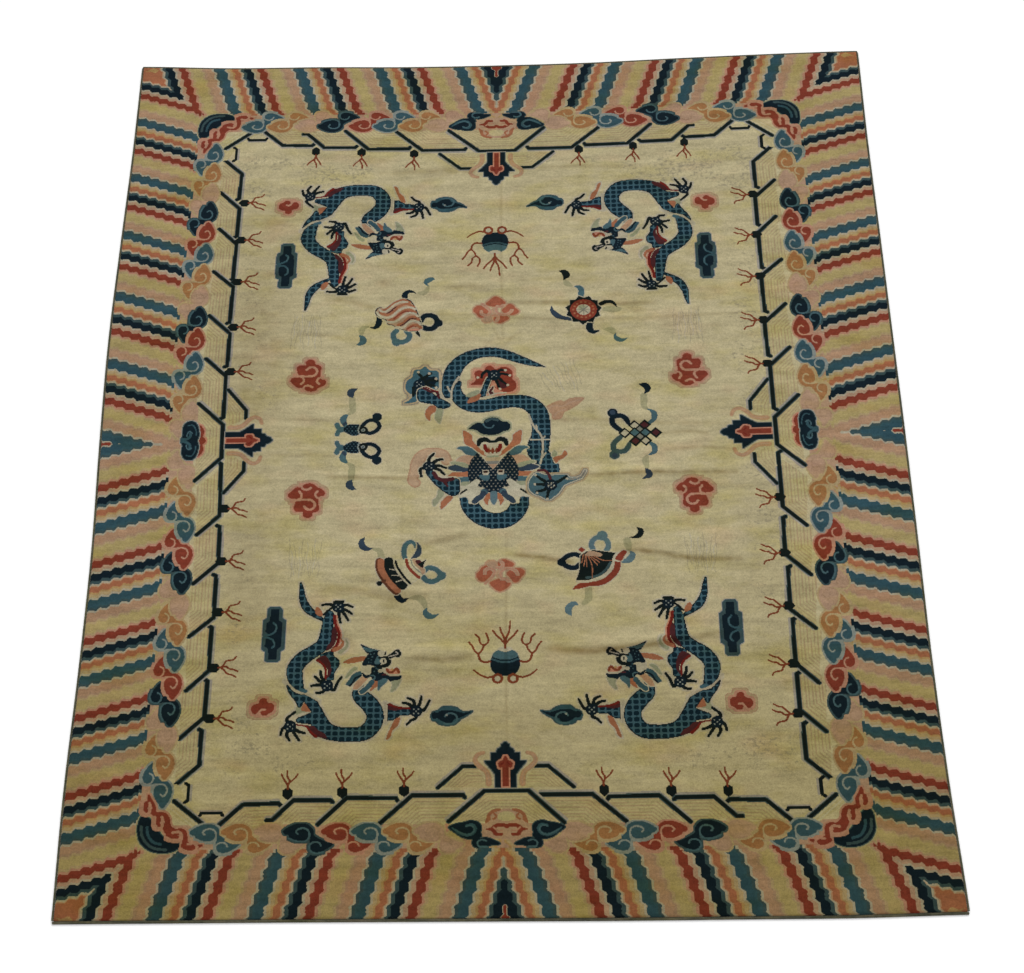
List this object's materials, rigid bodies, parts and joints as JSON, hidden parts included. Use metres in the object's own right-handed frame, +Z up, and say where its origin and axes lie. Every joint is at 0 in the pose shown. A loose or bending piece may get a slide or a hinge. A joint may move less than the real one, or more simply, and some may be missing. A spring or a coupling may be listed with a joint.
{
  "type": "chinese dragon rug",
  "caption": "Flat hand-knotted wool rug with dragons, clouds and a water-stripe border, overcast sides and narrow braided ends.",
  "frame": {"origin": "middle of the rug's outline, on the floor it lies on", "axes": "+X across the rug, +Y along it from the near end to the far end, +Z up out of the pile"},
  "size_m": [2.462, 3.0832, 0.0138],
  "materials": {
    "wool_pile": "short cut wool pile, knotted in many colours, matt and a little worn",
    "side_cord_wool": "overcast wool over a cord, dark olive grey",
    "end_braid_cotton": "flat-woven braid, dark olive grey"
  },
  "bodies": {
    "root": {"knotted_carpet": "wool_pile", "side_cord_left": "side_cord_wool", "side_cord_right": "side_cord_wool", "end_braid_near": "end_braid_cotton", "end_braid_far": "end_braid_cotton"}
  },
  "joints": []
}
